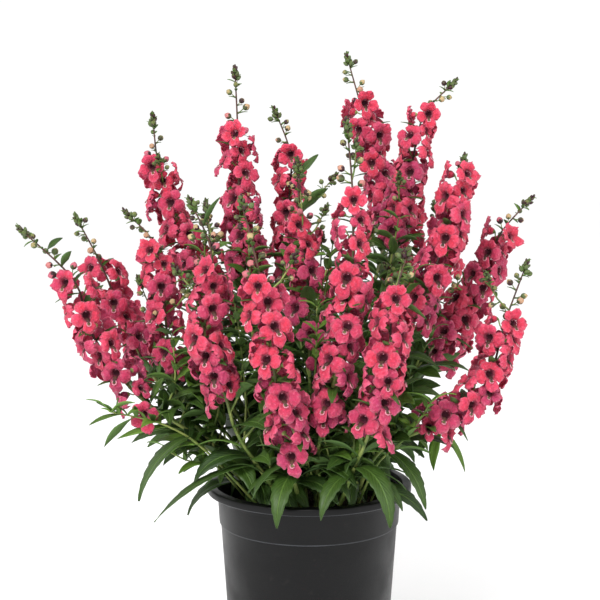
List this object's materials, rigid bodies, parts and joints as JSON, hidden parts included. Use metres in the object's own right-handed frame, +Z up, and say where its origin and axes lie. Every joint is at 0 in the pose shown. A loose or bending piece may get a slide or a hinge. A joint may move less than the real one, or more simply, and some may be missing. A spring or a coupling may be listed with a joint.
{
  "type": "potted angelonia",
  "caption": "Bushy flowering bedding plant with upright spikes of small five-lobed coral-pink flowers and serrated leaves, in a round black nursery pot.",
  "frame": {"origin": "centre of the underside of the pot", "axes": "+Z up, -Y towards the front of the plant, +X to its right as seen from the front"},
  "size_m": [0.372, 0.2509, 0.466],
  "materials": {
    "pot": "satin black injection-moulded plastic",
    "soil": "crumbly dark peat compost",
    "plant_label": "grey-white plastic strip, bare",
    "stem": "green stems, leaves and buds, softly glossy",
    "shoot": "fresh green leafy shoots, softly glossy",
    "bloom": "matt velvety coral-pink petals"
  },
  "bodies": {
    "root": {"pot": "pot", "soil": "soil", "plant_label": "plant_label", "stem_front_left": "stem", "bloom_front_left": "bloom", "stem_front_tall": "stem", "bloom_front_tall": "bloom", "stem_front_right": "stem", "bloom_front_right": "bloom", "stem_left_front": "stem", "bloom_left_front": "bloom", "stem_right_front": "stem", "bloom_right_front": "bloom", "stem_left_outer": "stem", "bloom_left_outer": "bloom", "stem_right_inner": "stem", "bloom_right_inner": "bloom", "stem_left_inner": "stem", "bloom_left_inner": "bloom", "stem_centre_slim": "stem", "bloom_centre_slim": "bloom", "stem_right_tall": "stem", "bloom_right_tall": "bloom", "stem_right_outer": "stem", "bloom_right_outer": "bloom", "stem_left_low": "stem", "bloom_left_low": "bloom", "stem_left_tall": "stem", "bloom_left_tall": "bloom", "stem_centre": "stem", "bloom_centre": "bloom", "stem_left_high": "stem", "bloom_left_high": "bloom", "stem_centre_tall": "stem", "bloom_centre_tall": "bloom", "stem_back_1": "stem", "bloom_back_1": "bloom", "stem_back_2": "stem", "bloom_back_2": "bloom", "stem_back_3": "stem", "bloom_back_3": "bloom", "stem_back_4": "stem", "bloom_back_4": "bloom", "stem_back_5": "stem", "bloom_back_5": "bloom", "stem_back_6": "stem", "bloom_back_6": "bloom", "stem_back_7": "stem", "bloom_back_7": "bloom", "shoot_left": "shoot", "shoot_right": "shoot", "shoot_middle": "shoot", "shoot_low_left": "shoot", "shoot_low_right": "shoot"}
  },
  "joints": []
}
